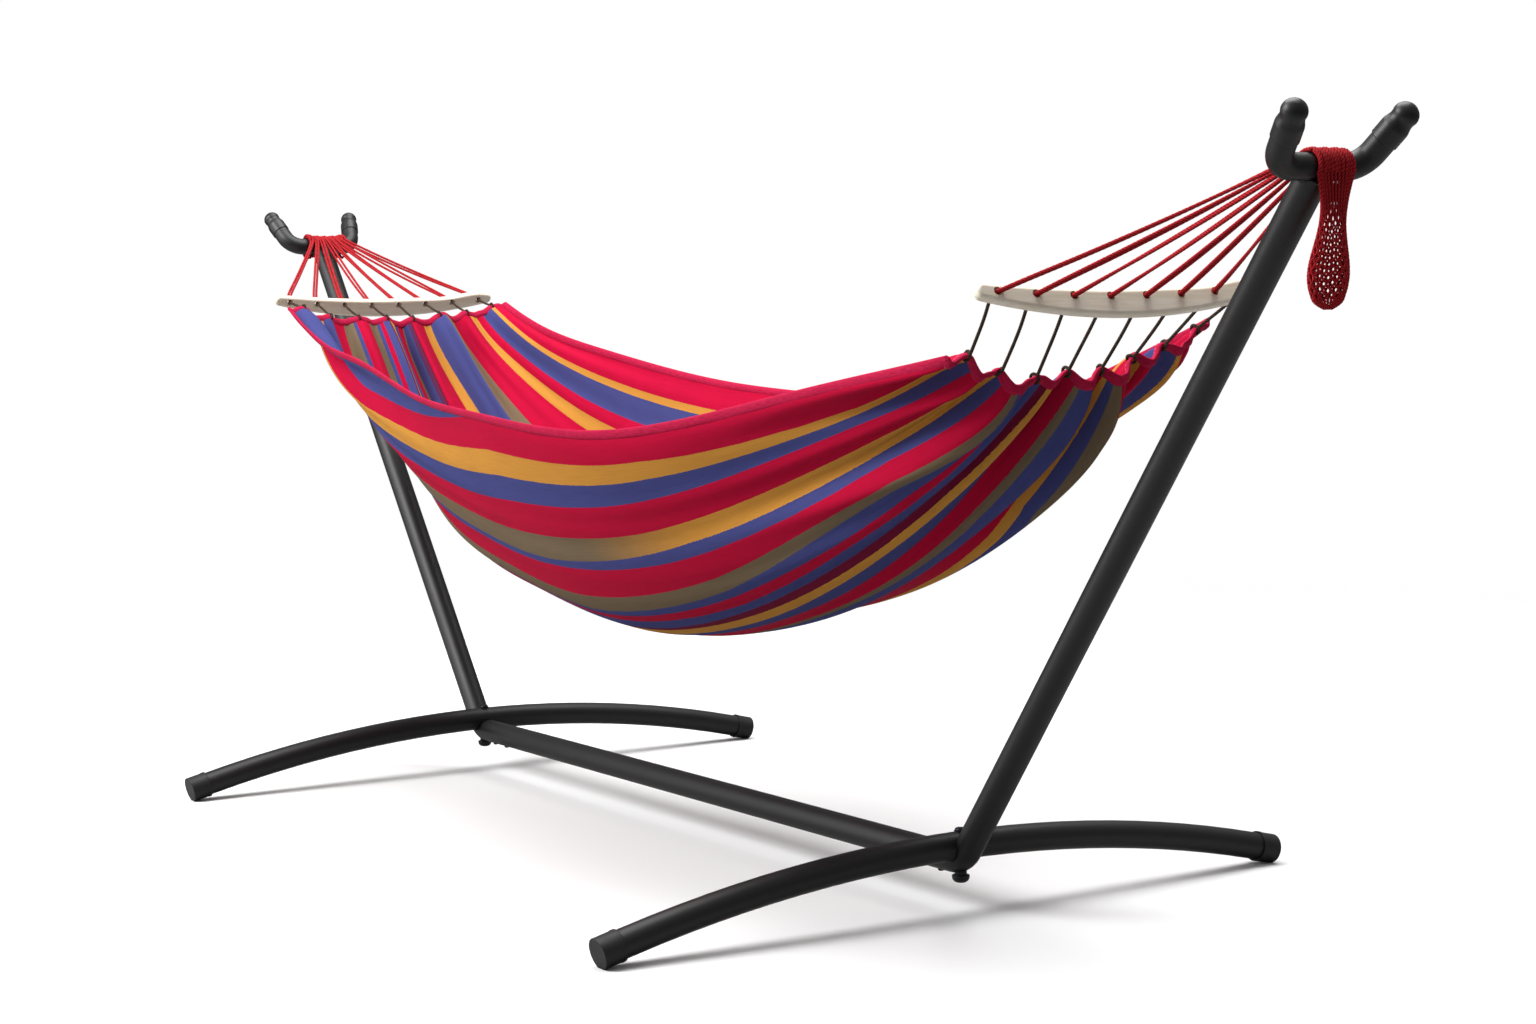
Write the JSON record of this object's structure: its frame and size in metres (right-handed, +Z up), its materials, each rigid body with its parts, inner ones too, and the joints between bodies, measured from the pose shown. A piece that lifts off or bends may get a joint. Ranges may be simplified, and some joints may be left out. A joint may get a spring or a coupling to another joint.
{
  "type": "hammock on stand",
  "caption": "Striped cloth hammock with wooden spreader bars, hung by cord fans from the horned cradles of a leaning two-post steel tube stand on arched feet.",
  "frame": {"origin": "on the floor under the middle of the stand, at the bottom centre of the box", "axes": "+X along the hammock towards the end with the hanging loop, +Y along the feet, +Z up"},
  "size_m": [3.2278, 1.2108, 1.1129],
  "materials": {
    "steel_tube": "satin black powder coat",
    "zinc_plated": "zinc plated, inside the tube",
    "black_bolts": "black oxide",
    "moulded_plastic": "matte black",
    "soft_rubber": "matte black",
    "red_cord": "twisted cotton cord, dark red",
    "dark_cord": "twisted cord, near black brown",
    "bar_wood": "pale sanded wood",
    "striped_cloth": "woven cotton with red, gold, blue and olive stripes"
  },
  "bodies": {
    "stand": {"base_beam": "steel_tube", "post_right": "steel_tube", "beam_sleeve_right": "zinc_plated", "seam_screws_right": "black_bolts", "foot_tube_right": "steel_tube", "foot_washers_right": "black_bolts", "foot_bolt_right": "black_bolts", "foot_knob_right": "moulded_plastic", "cradle_right": "steel_tube", "foot_cap_right_front": "moulded_plastic", "horn_tip_right_front": "soft_rubber", "foot_cap_right_back": "moulded_plastic", "horn_tip_right_back": "soft_rubber", "loop_wrap_right": "red_cord", "post_left": "steel_tube", "beam_sleeve_left": "zinc_plated", "seam_screws_left": "black_bolts", "foot_tube_left": "steel_tube", "foot_washers_left": "black_bolts", "foot_bolt_left": "black_bolts", "foot_knob_left": "moulded_plastic", "cradle_left": "steel_tube", "foot_cap_left_front": "moulded_plastic", "horn_tip_left_front": "soft_rubber", "foot_cap_left_back": "moulded_plastic", "horn_tip_left_back": "soft_rubber", "loop_wrap_left": "red_cord"},
    "hammock": {"hammock_bed": "striped_cloth", "spreader_bar_right": "bar_wood", "lashing_cords_right": "dark_cord", "strands_right_1": "red_cord", "strands_right_2": "red_cord", "strands_right_3": "red_cord", "strands_right_4": "red_cord", "strands_right_5": "red_cord", "strands_right_6": "red_cord", "strands_right_7": "red_cord", "strands_right_8": "red_cord", "spreader_bar_left": "bar_wood", "lashing_cords_left": "dark_cord", "strands_left_1": "red_cord", "strands_left_2": "red_cord", "strands_left_3": "red_cord", "strands_left_4": "red_cord", "strands_left_5": "red_cord", "strands_left_6": "red_cord", "strands_left_7": "red_cord", "strands_left_8": "red_cord"},
    "loop_end": {"loop_tail": "red_cord"}
  },
  "joints": [
    {"name": "hammock_swing", "type": "hinge", "parent": "stand", "child": "hammock", "pos_m": [0, 0, 1.055], "axis": [1, 0, 0], "range_deg": [-30, 30]},
    {"name": "tail_swing", "type": "hinge", "parent": "stand", "child": "loop_end", "pos_m": [1.56028, 0.012, 1.03035], "axis": [0, -1, 0], "range_deg": [-12, 60]}
  ]
}
